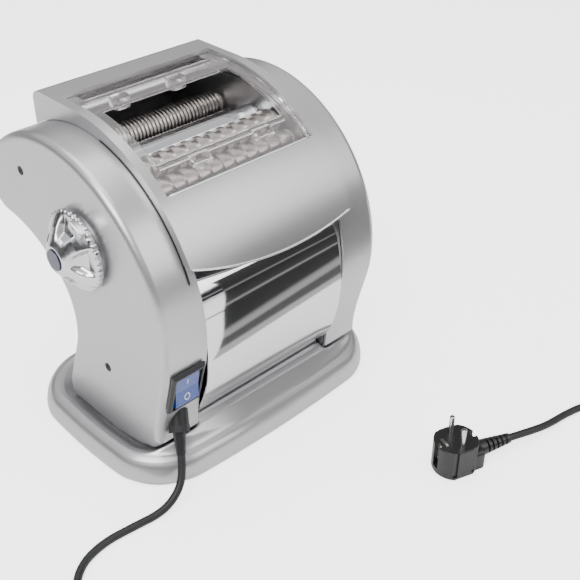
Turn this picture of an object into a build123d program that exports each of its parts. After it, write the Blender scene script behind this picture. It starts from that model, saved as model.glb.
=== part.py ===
from build123d import *
from math import acos, atan2, ceil, cos, degrees, hypot, pi, radians, sin, sqrt, tan
import os

# Electric pasta machine: a smooth roller pair, a fine cutter pair and a wide cutter pair,
# driven by a motor through gears in the right-hand cover.
# Millimetres. +Z up, -Y is the front, X runs from the knob side (-) to the gear side (+).
# The origin is on the table under the middle of the machine.

# ---------------------------------------------------------------- driving dimensions
base_width = 300.0
base_depth = 212.0
base_front_y = -125.8
base_corner = 52.0
base_bow = 7.0
base_top_z = 27.0
base_floor_z = 13.0
base_wall = 3.0
foot_height = 4.0
shell_lift = 2.0

body_width = 246.0          # over the two side covers
inner_width = 160.0         # between the rims of the side covers
drum_y = 15.0               # middle of the round front
drum_z = 149.0
drum_radius = 138.0
nose_radius = 32.0
nose_y = 93.8
cover_wall = 2.5
cover_edge = 7.0            # rounding between a cover's face and its rim
plate_thickness = 3.0
plate_inset = 3.2

roof_radius = 147.0         # of the round front
roof_top_z = 300.0
roof_wall = 3.0
roof_back_y = 86.0
roof_overlap = 8.0          # how far the top cover reaches over each rim
window_half = 79.0
window_front_angle = 41.5   # degrees from straight up, towards the front
window_back_y = 54.0
apron_angle = 68.0

roller_length = 151.0
smooth_radius = 13.0
cutter_radius = 12.0
shaft_radius = 6.0
running_clearance = 0.05
bush_radius = 9.0
gap_thick = 2.2             # between the smooth rollers at the first setting
gap_thin = 0.2
fine_strip = 2.0
wide_strip = 6.5
cut_overlap = 1.0           # how far the discs of a cutter pair reach into each other

knob_y = -20.0
knob_z = 204.0
knob_radius = 36.0
knob_settings = 6
knob_step = 45.0            # degrees between two settings
knob_travel = 4.0

cord_diameter = 7.0
cord_length = 1500.0

# ---------------------------------------------------------------- worked out from them
half_body = body_width / 2
half_inner = inner_width / 2
plate_in = half_inner - 0.5
plate_out = plate_in + plate_thickness
half_roller = roller_length / 2
arm_in = half_roller + 0.8
arm_out = arm_in + 2.4
nose_angle = 42.0
nose_centre_z = drum_z + sqrt((drum_radius - nose_radius) ** 2 - (nose_y - drum_y) ** 2)
cutter_spacing = 2 * cutter_radius - cut_overlap
roller_spacing = 2 * smooth_radius + gap_thick

tilt = radians(-25.2)       # the pairs lean forward, so that the dough leaves to the front
back_dir = (cos(tilt), sin(tilt))
adjustable_c = (-6.3, 251.5)
fixed_c = (adjustable_c[0] + roller_spacing * back_dir[0],
           adjustable_c[1] + roller_spacing * back_dir[1])


def away(point, distance, angle):
    """The point at a distance and an angle (degrees from +Y towards +Z) from another one."""
    return (point[0] + distance * cos(radians(angle)), point[1] + distance * sin(radians(angle)))


drive_module = 2.0
fine_front_c = away(fixed_c, 14 * drive_module, 20.6)
fine_back_c = away(fine_front_c, cutter_spacing, degrees(tilt))
wide_back_c = away(adjustable_c, smooth_radius + cutter_radius + 0.9, 170.0)
wide_front_c = away(wide_back_c, cutter_spacing, 212.0)

yoke_arm = 100.0            # from the yoke's pivot to the adjustable roller
yoke_c = (adjustable_c[0] + yoke_arm * back_dir[1], adjustable_c[1] - yoke_arm * back_dir[0])
yoke_swing = degrees((gap_thick - gap_thin) / yoke_arm)
yoke_rod_radius = 4.0
cam_radius = 9.0
knob_turn = knob_step * (knob_settings - 1)


# ---------------------------------------------------------------- small helpers
def rod(x0, x1, centre, radius, bore=0.0):
    """A round bar or tube along X from x0 to x1."""
    place = Pos(x0, centre[0], centre[1]) * Rot(0, 90, 0)
    up = (Align.CENTER, Align.CENTER, Align.MIN)
    solid = place * Cylinder(radius, x1 - x0, align=up)
    if bore > 0:
        solid -= place * Cylinder(bore, x1 - x0, align=up)
    return solid


def slab(sketch, x0, x1):
    """A sketch drawn in (y, z), made solid from x0 to x1."""
    return extrude(Plane.YZ.offset(x0) * sketch, amount=x1 - x0)


def polygon(points):
    """A flat face through (y, z) points."""
    return make_face(Polyline(*points, close=True))


def block(x0, x1, y0, y1, z0, z1):
    """A box between two corners."""
    low = (Align.MIN, Align.MIN, Align.MIN)
    return Pos(x0, y0, z0) * Box(x1 - x0, y1 - y0, z1 - z0, align=low)


def group(solids):
    """Several separate solids in one node."""
    return Compound(children=list(solids))


def direction(a, b):
    """The angle in radians of the line from a to b."""
    return atan2(b[1] - a[1], b[0] - a[0])


def polar(centre, radius, angle):
    """A (y, z) point on a circle, the angle in degrees from +Y towards +Z."""
    return away(centre, radius, angle)


# ---------------------------------------------------------------- side outline
drum_c = (drum_y, drum_z)
nose_c = (nose_y, nose_centre_z)
front_low_angle = 198.0


def step_inside(points, inset):
    """The inner points of a clockwise chain, moved inwards square to both their neighbours' lines."""
    moved = []
    for before, here, after in zip(points, points[1:], points[2:]):
        one, two = direction(before, here), direction(here, after)
        half = (two - one + pi) % (2 * pi) - pi
        line = one + half / 2
        reach = inset / cos(half / 2)
        moved.append((here[0] + reach * sin(line), here[1] - reach * cos(line)))
    return moved


def side_outline(inset=0.0):
    """The outline of a side cover in (y, z): round front and top, nose, waist and foot."""
    outer, nose = drum_radius - inset, nose_radius - inset
    join_angle = degrees(direction(drum_c, nose_c))
    nose_end = (nose_y, nose_c[1] - nose_radius)
    start = polar(drum_c, drum_radius, front_low_angle)
    chain = [(nose_y + 8, nose_end[1]), nose_end, (76.0, 184.5), (54.0, 176.0), (33.0, 161.0), (17.5, 141.0),
             (11.5, 117.0), (14.5, 93.0), (25.0, 66.0), (34.0, 42.0), (36.0, 24.0), (30.0, 16.5), (-40.0, 16.5),
             (-73.0, 22.0), (-92.0, 30.0), (-103.0, 42.0), (-105.3, 64.0), (-111.2, 88.0), start,
             polar(drum_c, drum_radius, front_low_angle - 3)]
    inner = step_inside(chain, inset)
    waist, sole, front = inner[:10], inner[9:15], inner[14:]
    join = polar(drum_c, outer, join_angle)
    return make_face([
        ThreePointArc(front[-1], polar(drum_c, outer, 120.0), join),
        ThreePointArc(join, polar(nose_c, nose, -20.0), waist[0]),
        Spline(*waist, tangents=[(-1, -0.15), (0.0, -1)]),
        Polyline(*sole),
        Spline(*front),
    ])


# ---------------------------------------------------------------- gears
pressure_angle = radians(20.0)


def involute(angle):
    return tan(angle) - angle


def gear_face(teeth, module, phase, backlash=0.15, addendum=1.0, dedendum=1.25, stretch=0.0):
    """A spur gear's outline in (y, z); phase is the angle of one tooth's middle, in radians."""
    pitch_r = teeth * module / 2
    base_r = pitch_r * cos(pressure_angle)
    tip_r = pitch_r + addendum * module + stretch
    root_r = pitch_r - dedendum * module - stretch
    half_tooth = pi / (2 * teeth) - backlash / (2 * pitch_r)
    flank = []
    for share in (0.0, 0.35, 0.7, 1.0):
        radius = root_r + (tip_r - root_r) * share
        roll = acos(min(1.0, base_r / radius))
        flank.append((radius, half_tooth + involute(pressure_angle) - involute(roll)))
    points = []
    for k in range(teeth):
        middle = phase + 2 * pi * k / teeth
        points += [(r * cos(middle - a), r * sin(middle - a)) for r, a in flank]
        points += [(r * cos(middle + a), r * sin(middle + a)) for r, a in reversed(flank)]
    return polygon(points)


def gear(teeth, module, x0, x1, centre, phase, bore, **shape):
    """A spur gear on an axis along X."""
    solid = slab(Pos(centre[0], centre[1]) * gear_face(teeth, module, phase, **shape), x0, x1)
    return solid - rod(x0 - 1, x1 + 1, centre, bore)


def mesh_phase(a, phase_a, teeth_a, b, teeth_b):
    """The phase that puts gear b's gaps on gear a's teeth along the line between them."""
    line = direction(a, b)
    share = (line - phase_a) * teeth_a / (2 * pi)
    return line + pi - (2 * pi / teeth_b) * (0.5 - share)


# teeth of the train, and the planes that the gears run in
pair_teeth = 14
drive_teeth = 14
main_teeth = 30
second_small, second_big, second_module = 12, 44, 1.5
first_small, first_big, first_module = 12, 70, 1.0
pinion_teeth = 10
plane_a = (85.0, 92.0)
plane_b = (94.0, 102.0)
plane_c = (105.0, 110.0)
plane_left = (-91.0, -85.0)
stud_radius = 3.5
pair_module = (roller_spacing - (gap_thick - gap_thin) / 2) / pair_teeth
cutter_module = cutter_spacing / pair_teeth


def third_corner(a, b, reach_a, reach_b):
    """The lower of the two points at given distances from a and b."""
    apart = hypot(b[0] - a[0], b[1] - a[1])
    along = (reach_a ** 2 - reach_b ** 2 + apart ** 2) / (2 * apart)
    across = sqrt(reach_a ** 2 - along ** 2)
    line = direction(a, b)
    left = (a[0] + along * cos(line) - across * sin(line), a[1] + along * sin(line) + across * cos(line))
    right = (a[0] + along * cos(line) + across * sin(line), a[1] + along * sin(line) - across * cos(line))
    return min(left, right, key=lambda point: point[1])


main_reach = (main_teeth + drive_teeth) * drive_module / 2
main_c = third_corner(wide_back_c, fixed_c, main_reach, main_reach)
second_c = away(main_c, (main_teeth + second_small) * drive_module / 2, -100.0)
first_c = away(second_c, (second_big + first_small) * second_module / 2, -95.0)
motor_c = away(first_c, (first_big + pinion_teeth) * first_module / 2, -120.0)

fixed_phase = direction(fixed_c, adjustable_c)
adjust_phase = mesh_phase(fixed_c, fixed_phase, pair_teeth, adjustable_c, pair_teeth)
drive_phase = 0.3
fine_drive_phase = mesh_phase(fixed_c, drive_phase, drive_teeth, fine_front_c, drive_teeth)
main_phase = mesh_phase(fixed_c, drive_phase, drive_teeth, main_c, main_teeth)
wide_drive_phase = mesh_phase(main_c, main_phase, main_teeth, wide_back_c, drive_teeth)
second_phase = mesh_phase(main_c, main_phase, main_teeth, second_c, second_small)
first_phase = mesh_phase(second_c, 0.0, second_big, first_c, first_small)
pinion_phase = mesh_phase(first_c, 0.0, first_big, motor_c, pinion_teeth)
fine_pair_phase = 0.1
fine_back_phase = mesh_phase(fine_front_c, fine_pair_phase, pair_teeth, fine_back_c, pair_teeth)
wide_pair_phase = 0.2
wide_front_phase = mesh_phase(wide_back_c, wide_pair_phase, pair_teeth, wide_front_c, pair_teeth)

bushed = [fixed_c, fine_front_c, fine_back_c, wide_back_c, wide_front_c]
knob_c = (knob_y, knob_z)


# ---------------------------------------------------------------- base
def base_outline(inset=0.0):
    """The base seen from above: four slightly bowed sides and round corners."""
    half_x = base_width / 2 - inset
    y0 = base_front_y + inset
    y1 = base_front_y + base_depth - inset
    mid_y = (y0 + y1) / 2
    cx = half_x - base_bow
    front, back = y0 + base_bow, y1 - base_bow
    sides = [
        ThreePointArc((-cx, front), (0, y0), (cx, front)),
        ThreePointArc((cx, front), (half_x, mid_y), (cx, back)),
        ThreePointArc((cx, back), (0, y1), (-cx, back)),
        ThreePointArc((-cx, back), (-half_x, mid_y), (-cx, front)),
    ]
    face = make_face(sides)
    return fillet(face.vertices(), base_corner - inset)


foot_spots = [(x, y) for x in (-108.0, 108.0) for y in (-88.0, 52.0)]
lug_spots = [(x, y) for x in (-68.0, 68.0) for y in (-66.0, 10.0)]
berm_front = [(-122.0, 18.0), (-116.0, 26.0), (-110.0, 33.0)]


def make_base_shell():
    shell = extrude(Pos(0, 0, shell_lift) * base_outline(), amount=base_top_z - shell_lift)
    shell = fillet(shell.faces().sort_by(Axis.Z)[-1].edges(), 9.0)
    shell = fillet(shell.faces().sort_by(Axis.Z)[0].edges(), 4.0)
    dish = extrude(Pos(0, 0, base_floor_z) * base_outline(21.5), amount=40)
    dish = fillet(dish.faces().sort_by(Axis.Z)[0].edges(), 6.0)
    shell -= dish
    under_covers = polygon(berm_front + [(-105.2, 39.2), (-93.2, 28.2), (-73.6, 20.9),
                                         (-40.0, 16.2), (-40.0, 12.0), (-122.0, 12.0)])
    under_chute = polygon(berm_front + [(-104.0, 39.5), (-94.0, 43.5), (-84.0, 43.5),
                                        (-84.0, 12.0), (-122.0, 12.0)])
    berm = slab(under_chute, -half_inner + 0.6, half_inner - 0.6)
    berm += slab(under_covers, half_inner, half_body + 2)
    berm += slab(under_covers, -half_body - 2, -half_inner)
    keep = extrude(Pos(0, 0, 5) * base_outline(7.0), amount=60)
    shell += berm & keep
    hollow = extrude(base_outline(7.0), amount=base_floor_z - base_wall)
    bosses = [Pos(x, y, 0) * Cylinder(9.0, 40) for x, y in foot_spots + lug_spots]
    ring = extrude(base_outline(3.0), amount=shell_lift + 1.6)
    shell -= hollow - bosses
    shell -= ring
    for x, y in lug_spots:
        shell -= Pos(x, y, 0) * Cylinder(2.6, 60)
    return shell


def make_base_plate():
    plate = extrude(Pos(0, 0, shell_lift) * base_outline(3.3), amount=1.6)
    for x, y in foot_spots:
        plate -= Pos(x, y, 0) * Cylinder(5.0, 20)
    for x, y in lug_spots:
        plate -= Pos(x, y, 0) * Cylinder(2.6, 20)
    return plate


def make_feet():
    up = (Align.CENTER, Align.CENTER, Align.MIN)
    feet = []
    for x, y in foot_spots:
        pad = Pos(x, y, 0) * Cylinder(10.0, shell_lift, align=up)
        pad = fillet(pad.faces().sort_by(Axis.Z)[0].edges(), 1.0)
        feet.append(pad + Pos(x, y, shell_lift) * Cylinder(5.0, 1.6, align=up))
    return group(feet)


def make_lugs():
    lugs = []
    for x, y in lug_spots:
        side = 1 if x > 0 else -1
        wall = sorted((side * (plate_in - 2.5), side * plate_in))
        floor = sorted((side * (plate_in - 22), side * plate_in))
        lug = block(*wall, y - 9, y + 9, base_floor_z, base_floor_z + 24)
        lug += block(*floor, y - 9, y + 9, base_floor_z, base_floor_z + 3)
        lugs.append(lug - Pos(x, y, 0) * Cylinder(2.0, 60))
    return group(lugs)


def make_base_screws():
    up = (Align.CENTER, Align.CENTER, Align.MIN)
    screws = []
    for x, y in lug_spots:
        screw = Pos(x, y, 0.4) * Cylinder(4.0, shell_lift - 0.4, align=up)
        screws.append(screw + Pos(x, y, shell_lift) * Cylinder(2.0, 15.5, align=up))
    return group(screws)


# ---------------------------------------------------------------- frame
tie_spots = [(-92.0, 72.0), (0.0, 62.0), (95.0, 215.0), (46.0, 196.0), (-86.0, 178.0)]


def slot_face(start, end, half):
    """A round-ended slot between two (y, z) points."""
    line = direction(start, end)
    across = (-half * sin(line), half * cos(line))
    rect = polygon([(start[0] + across[0], start[1] + across[1]), (end[0] + across[0], end[1] + across[1]),
                    (end[0] - across[0], end[1] - across[1]), (start[0] - across[0], start[1] - across[1])])
    return rect + Pos(*start) * Circle(half) + Pos(*end) * Circle(half)


def make_frame_plate(side):
    x0, x1 = sorted((side * plate_in, side * plate_out))
    plate = slab(side_outline(plate_inset), x0, x1)
    for centre in bushed:
        plate -= rod(x0 - 1, x1 + 1, centre, bush_radius)
    plate -= rod(x0 - 1, x1 + 1, yoke_c, yoke_rod_radius)
    travel = (adjustable_c[0] + 2 * back_dir[0], adjustable_c[1] + 2 * back_dir[1])
    plate -= slab(slot_face(adjustable_c, travel, shaft_radius + 1.5), x0 - 1, x1 + 1)
    for centre in tie_spots:
        plate -= rod(x0 - 1, x1 + 1, centre, 3.0)
    if side > 0:
        for centre in (main_c, second_c, first_c):
            plate -= rod(x0 - 1, x1 + 1, centre, stud_radius)
        plate -= rod(x0 - 1, x1 + 1, motor_c, 8.0)
    else:
        plate -= rod(x0 - 1, x1 + 1, knob_c, bush_radius)
    return plate


def make_tie_rods():
    rods = []
    for centre in tie_spots:
        bar = rod(-plate_in, plate_in, centre, 4.5)
        rods.append(bar + rod(-plate_out - 5, plate_out + 5, centre, 3.0))
    return group(rods)


def make_tie_nuts():
    nuts = []
    for y, z in tie_spots:
        for side in (-1, 1):
            x0, x1 = sorted((side * plate_out, side * (plate_out + 4.5)))
            nut = slab(Pos(y, z) * RegularPolygon(5.8, 6), x0, x1)
            nuts.append(nut - rod(x0 - 1, x1 + 1, (y, z), 3.0))
    return group(nuts)


def make_bushes():
    bushes = []
    for centre in bushed + [knob_c]:
        for side in (-1, 1):
            if centre == knob_c and side > 0:
                continue
            x0, x1 = sorted((side * (plate_in - 0.2), side * (plate_out + 0.6)))
            bore = knob_shaft_radius if centre == knob_c else shaft_radius
            bushes.append(rod(x0, x1, centre, bush_radius, bore + running_clearance))
    return group(bushes)


# ---------------------------------------------------------------- rollers and cutters
def make_smooth_roller(centre, left_end, right_end):
    body = rod(-half_roller, half_roller, centre, smooth_radius)
    ends = [e for e in body.edges().filter_by(GeomType.CIRCLE)]
    return chamfer(ends, 0.6) + rod(left_end, right_end, centre, shaft_radius)


def make_cutter(centre, strip, first, left_end, right_end):
    """A ribbed cutter: discs one strip wide, one strip apart, on a solid core."""
    core = cutter_radius - 2.6
    cutter = rod(-half_roller, half_roller, centre, core) + rod(left_end, right_end, centre, shaft_radius)
    shrink = 0.06
    pitch = 2 * strip
    count = int((roller_length - 2) / pitch)
    start = -count * strip + first * strip
    discs = []
    for k in range(count + 1):
        x0 = start + k * pitch - strip / 2 + shrink
        x1 = x0 + strip - 2 * shrink
        if x0 >= -half_roller and x1 <= half_roller:
            discs.append(rod(x0, x1, centre, cutter_radius))
    return cutter + discs


def make_comb(centre, strip, first, toward):
    """The stripper under a cutter: a rail with one finger in each groove."""
    core = cutter_radius - 2.6
    top = centre[1] - core - 0.4
    rail_z = centre[1] - cutter_radius - 2.0
    y0 = centre[0] + 2.0 * toward
    y1 = centre[0] + 5.0 * toward
    y0, y1 = min(y0, y1), max(y0, y1)
    rail = block(-plate_in, plate_in, y0, y1, rail_z - 2.5, rail_z)
    pitch = 2 * strip
    count = int((roller_length - 2) / pitch)
    start = -count * strip + (1 - first) * strip
    half_finger = strip / 2 - 0.3
    fingers = []
    for k in range(count + 1):
        x = start + k * pitch
        if abs(x) + half_finger < half_roller:
            fingers.append(block(x - half_finger, x + half_finger, y0, y1, rail_z - 0.5, top))
    return rail + fingers


def make_scraper(centre, back):
    """A thin blade just under a smooth roller."""
    y0 = centre[0] + back
    top = centre[1] - sqrt(smooth_radius ** 2 - back ** 2) - 0.25
    return block(-plate_in + 4, plate_in - 4, y0, y0 + 1.0, top - 7, top)


# ---------------------------------------------------------------- thickness setting
knob_shaft_radius = 5.0
cam_rise = 0.0              # set below from the yoke's swing at the cam
cam_along = ((knob_y - yoke_c[0]) * -back_dir[1] + (knob_z - yoke_c[1]) * back_dir[0])
cam_rise = radians(yoke_swing) * cam_along
cam_slack = 0.12


def make_cam():
    """A spiral disc: its radius at the yoke's face grows evenly as the knob turns."""
    push = atan2(back_dir[1], back_dir[0])
    points = []
    steps = 72
    rise_share = knob_turn / 360.0
    for k in range(steps):
        share = k / steps
        if share <= rise_share:
            radius = cam_radius + cam_rise * share / rise_share
        else:
            radius = cam_radius + cam_rise * (1 - share) / (1 - rise_share)
        angle = push + 2 * pi * share
        points.append((knob_y + radius * cos(angle), knob_z + radius * sin(angle)))
    disc = slab(make_face(Spline(*points, periodic=True)), -arm_out, -arm_in)
    return disc - rod(-arm_out - 1, -arm_in + 1, knob_c, knob_shaft_radius)


def yoke_point(along, across):
    """A (y, z) point measured from the yoke's pivot: up the arm, and towards the fixed roller."""
    return (yoke_c[0] - along * back_dir[1] + across * back_dir[0],
            yoke_c[1] + along * back_dir[0] + across * back_dir[1])


cam_across = ((knob_y - yoke_c[0]) * back_dir[0] + (knob_z - yoke_c[1]) * back_dir[1])


def make_arm(side):
    x0, x1 = sorted((side * arm_in, side * arm_out))
    shape = polygon([yoke_point(-11, -11), yoke_point(-11, 11), yoke_point(28, 27), yoke_point(72, 27),
                     yoke_point(110, 11), yoke_point(110, -10), yoke_point(72, -12)])
    shape = fillet(shape.vertices(), 6.0)
    arm = slab(shape, x0, x1)
    arm -= rod(x0 - 1, x1 + 1, yoke_c, 7.0)
    arm -= rod(x0 - 1, x1 + 1, adjustable_c, shaft_radius + running_clearance)
    face = cam_across + cam_radius + cam_slack
    low, high = cam_along - 13.0, cam_along + 13.0
    window = polygon([yoke_point(low, cam_across - 13), yoke_point(low, face),
                      yoke_point(high, face), yoke_point(high, cam_across - 13)])
    arm -= slab(window, x0 - 1, x1 + 1)
    return arm


def make_knob_shaft():
    shaft = rod(-127.0, -arm_in, knob_c, knob_shaft_radius)
    tail = rod(-146.0, -127.0, knob_c, knob_shaft_radius)
    tail &= block(-147, -126, knob_y - 20, knob_y + 20, knob_z - 4, knob_z + 4)
    collar = rod(-plate_out - 6, -plate_out - 0.8, knob_c, 7.5)
    return shaft + tail + collar


knob_face_x = -base_width / 2
skirt_x = -half_body - 2.5


def make_knob_body():
    """A domed knob with scooped flanks, a notched skirt and a raised grip tab."""
    profile = make_face([
        Polyline((knob_shaft_radius + running_clearance, skirt_x), (knob_radius - 1.0, skirt_x),
                 (knob_radius, skirt_x - 1.0), (knob_radius, skirt_x - 4.5), (knob_radius - 2.5, skirt_x - 6.5)),
        ThreePointArc((knob_radius - 2.5, skirt_x - 6.5), (25.0, skirt_x - 14.5), (13.0, knob_face_x + 2.0)),
        Polyline((13.0, knob_face_x + 2.0), (12.0, knob_face_x + 1.0), (9.0, knob_face_x + 1.0),
                 (9.0, knob_face_x + 3.5), (knob_shaft_radius + running_clearance, knob_face_x + 3.5),
                 (knob_shaft_radius + running_clearance, skirt_x)),
    ])
    body = revolve(profile, Axis.Y)
    body = Pos(0, knob_y, knob_z) * Rot(0, 0, -90) * body
    for k in range(5):
        middle = 30.0 + 72.0 * k
        spot = polar(knob_c, 30.5, middle)
        scoop = Pos(skirt_x - 21.0, spot[0], spot[1]) * Sphere(13.5)
        body -= scoop
    for k in range(18):
        spot = polar(knob_c, knob_radius + 0.4, 20.0 * k + 5)
        body -= rod(skirt_x - 6, skirt_x - 1.5, spot, 1.6)
    tab = slab(Pos(knob_y, knob_z) * Rot(0, 0, 68) * (Pos(31.5, 0) * Rectangle(9.0, 17.0)),
               skirt_x - 9.5, skirt_x - 2.0)
    tab = fillet(tab.edges().filter_by(Axis.X), 1.5)
    body += tab
    seat = rod(-140.0, skirt_x + 1, knob_c, knob_shaft_radius + running_clearance)
    cut = block(-148, -126.8, knob_y - 20, knob_y + 20, knob_z - 4.05, knob_z + 4.05)
    flats = rod(-148.0, -126.8, knob_c, knob_shaft_radius + running_clearance)
    plug = rod(knob_face_x + 3.5, -127.2, knob_c, knob_shaft_radius + 0.5)
    body += plug - (flats & cut)
    return body - (seat & block(-127.2, -100, -200, 200, 0, 400))


def make_index_plate():
    x0, x1 = -half_body - 1.5, -half_body
    plate = rod(x0, x1, knob_c, 31.0, 12.0)
    for k in range(knob_settings):
        spot = polar(knob_c, 26.0, 110.0 + k * knob_step)
        plate -= rod(x0 - 1, x1 + 1, spot, 2.0)
    return plate


def make_knob_pin():
    spot = polar(knob_c, 26.0, 110.0)
    return rod(skirt_x - 1.0, -half_body - 1.7, spot, 1.7)


# ---------------------------------------------------------------- motor and gears
motor_radius = 34.0
motor_x = (-32.0, 68.0)


def make_motor_housing():
    x0, x1 = motor_x
    can = rod(x0, x1, motor_c, motor_radius)
    can = fillet(can.edges().filter_by(GeomType.CIRCLE), 3.0)
    can -= rod(x0 + 3, x1 - 3, motor_c, motor_radius - 1.5)
    for x in (x0 + 3, x1 - 9):
        can += rod(x, x + 6, motor_c, 8.0)
    can -= rod(x0 - 1, x1 + 1, motor_c, 4.0 + running_clearance)
    for k in range(10):
        spot = polar(motor_c, 22.0, 36.0 * k)
        can -= rod(x0 - 1, x0 + 4, spot, 3.2)
    return can


def make_motor_shaft():
    return rod(motor_x[0] - 4, 103.0, motor_c, 4.0) + rod(103.0, 110.5, motor_c, 2.5)


# ---------------------------------------------------------------- shells
screw_spots = [(62.0, 244.0), (-36.5, 90.0)]
post_spots = [(88.0, 232.0), (-36.5, 90.0)]
switch_centre_z = 103.0
switch_x = -101.0
switch_tilt = 15.0
switch_plane = Plane(origin=(switch_x, -115.9, switch_centre_z), x_dir=(1, 0, 0),
                     z_dir=(0, -cos(radians(switch_tilt)), -sin(radians(switch_tilt))))
switch_size = (34.0, 45.0)
switch_hole = (27.4, 38.4)
relief_start = Vector(-104.0, -107.0, 57.0)
relief_dir = Vector(-0.35, -0.5, -0.79).normalized()
relief_plane = Plane(origin=relief_start, x_dir=Vector(1, 0, 0) - relief_dir * relief_dir.X, z_dir=relief_dir)


def make_side_cover(side):
    face_x, rim_x = side * half_body, side * half_inner
    x0, x1 = sorted((face_x, rim_x))
    cover = slab(side_outline(), x0, x1)
    outer = cover.faces().sort_by(Axis.X)[0 if side < 0 else -1]
    cover = fillet(outer.edges(), cover_edge)
    i0, i1 = sorted((face_x - side * cover_wall, rim_x - side * 1.0))
    cover -= slab(side_outline(cover_wall), i0, i1)
    for y, z in screw_spots:
        cover -= rod(x0 - 1, x1 + 1, (y, z), 2.3)
        dip = sorted((face_x - side * 1.2, face_x + side))
        cover -= rod(*dip, (y, z), 4.4)
    if side < 0:
        cover -= rod(x0 - 1, x0 + 10, knob_c, 9.0)
        cut = Box(switch_hole[0], switch_hole[1], 30)
        cover -= switch_plane * cut
    return cover


def make_cover_posts():
    """Pillars from the frame plates that the side covers' screws go into."""
    posts = []
    for side in (-1, 1):
        end = side * (half_body - cover_wall)
        low = side * (half_body - cover_wall - 5)
        for spot, post in zip(screw_spots, post_spots):
            x0, x1 = sorted((side * plate_out, end))
            pillar = rod(x0, x1, post, 3.5)
            if spot != post:
                pillar += slab(slot_face(post, spot, 4.5), *sorted((low, end)))
            pillar -= rod(*sorted((low + side * 0.1, end + side)), spot, 1.6)
            posts.append(pillar)
    return group(posts)


def make_cover_screws():
    screws = []
    for side in (-1, 1):
        for spot in screw_spots:
            head = sorted((side * (half_body - 1.2), side * (half_body + 0.4)))
            shank = sorted((side * (half_body - 1.2), side * (half_body - cover_wall - 4.5)))
            screw = rod(*head, spot, 3.6) + rod(*shank, spot, 1.6)
            slot = block(*sorted((side * (half_body - 0.6), side * (half_body + 2))),
                         spot[0] - 2.6, spot[0] + 2.6, spot[1] - 0.5, spot[1] + 0.5)
            cross = block(*sorted((side * (half_body - 0.6), side * (half_body + 2))),
                          spot[0] - 0.5, spot[0] + 0.5, spot[1] - 2.6, spot[1] + 2.6)
            screws.append(screw - slot - cross)
    return group(screws)


def roof_profile(grow):
    """The top cover's outline in (y, z): a round front that runs into a flat back."""
    radius = roof_radius - grow
    centre = drum_c
    low = polar(centre, radius, 90.0 + apron_angle + 8.0)
    mid = polar(centre, radius, 140.0)
    top_z = roof_top_z - grow
    top = (drum_y + 6.0, top_z)
    back = roof_back_y - grow
    edge = 9.0 - grow
    return [
        ThreePointArc(low, mid, polar(centre, radius, 120.0)),
        ThreePointArc(polar(centre, radius, 120.0), polar(centre, radius + 1.2, 106.0), top),
        Line(top, (back - edge, top_z)),
        ThreePointArc((back - edge, top_z), (back - edge * 0.293, top_z - edge * 0.293),
                      (back, top_z - edge)),
        Line((back, top_z - edge), (back, 262.0 - 8 * grow)),
        Line((back, 262.0 - 8 * grow), drum_c),
        Line(drum_c, low),
    ]


roof_half = half_inner + roof_overlap


def make_top_cover():
    cover = slab(make_face(roof_profile(0.0)), -roof_half, roof_half)
    cover -= slab(make_face(roof_profile(roof_wall)), -half_inner + 0.4, half_inner - 0.4)
    rim_clear = Pos(drum_y, drum_z) * Circle(drum_radius + 0.5)
    cover -= slab(rim_clear, -roof_half - 1, -half_inner + 0.4)
    cover -= slab(rim_clear, half_inner - 0.4, roof_half + 1)
    nose_clear = Pos(*nose_c) * Circle(nose_radius + 0.5)
    cover -= slab(nose_clear, -roof_half - 1, roof_half + 1)
    back_clear = rim_clear & (Pos(roof_back_y, 250.0) * Rectangle(30.0, 100.0))
    cover -= slab(back_clear, -half_inner, half_inner)
    inside = Pos(drum_y, drum_z) * Circle(100.0)
    cover -= slab(inside, -roof_half - 1, roof_half + 1)
    window = slab(polygon([polar(drum_c, 170, 90 + window_front_angle), polar(drum_c, 120, 90 + window_front_angle),
                           (window_back_y, 250.0), (window_back_y, 330.0), (-60.0, 330.0)]),
                  -window_half, window_half)
    cover -= window
    smile_top, smile_low = 213.0, 194.0
    smile = make_face([
        ThreePointArc((-roof_half - 1, smile_top), (8.0, smile_low), (roof_half + 1, smile_top - 12)),
        Polyline((roof_half + 1, smile_top - 12), (roof_half + 1, 100.0), (-roof_half - 1, 100.0),
                 (-roof_half - 1, smile_top)),
    ])
    cover -= extrude(Plane.XZ.offset(60.0) * smile, amount=120.0)
    return cover


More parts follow.
